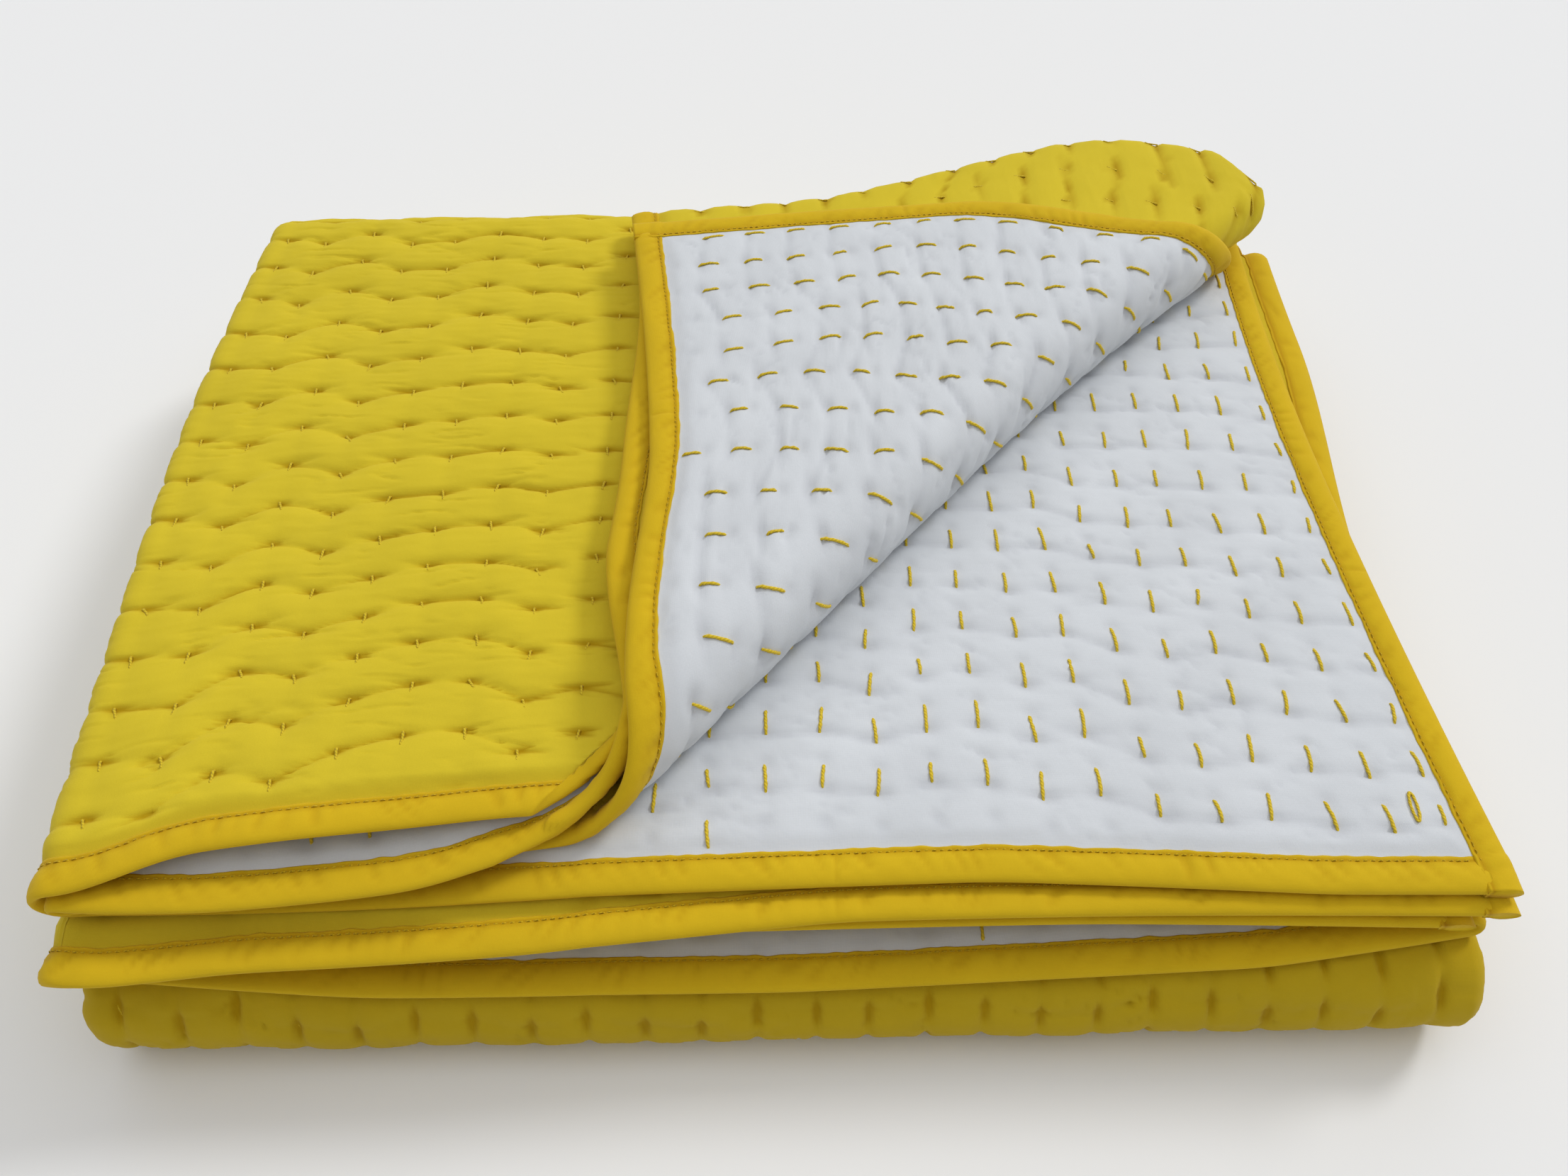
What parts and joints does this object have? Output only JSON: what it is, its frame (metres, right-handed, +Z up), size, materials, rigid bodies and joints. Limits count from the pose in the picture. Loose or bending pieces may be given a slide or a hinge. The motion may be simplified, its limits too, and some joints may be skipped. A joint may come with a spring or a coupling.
{
  "type": "folded quilt",
  "caption": "Folded running-stitch quilt with a bright cotton face, a white back, narrow bound edges and one corner turned back.",
  "frame": {"origin": "centre of the bounding box in plan, on the surface the folded quilt lies on", "axes": "+X across the folded stack, towards its free side edge; +Y from the front folds to the back folds; +Z up"},
  "size_m": [0.6131, 0.5163, 0.1357],
  "materials": {
    "quilted_cotton": "plain-weave yellow cotton, quilted, matt",
    "binding_cotton": "plain-weave yellow cotton strip, folded and machine sewn, matt",
    "back_cotton": "plain-weave white cotton, quilted, matt",
    "quilting_thread": "thick soft yellow cotton thread"
  },
  "bodies": {
    "root": {"quilt_body": "quilted_cotton", "flap_side_binding": "binding_cotton", "free_side_binding": "binding_cotton", "first_end_binding": "binding_cotton", "second_end_binding": "binding_cotton"}
  },
  "joints": []
}
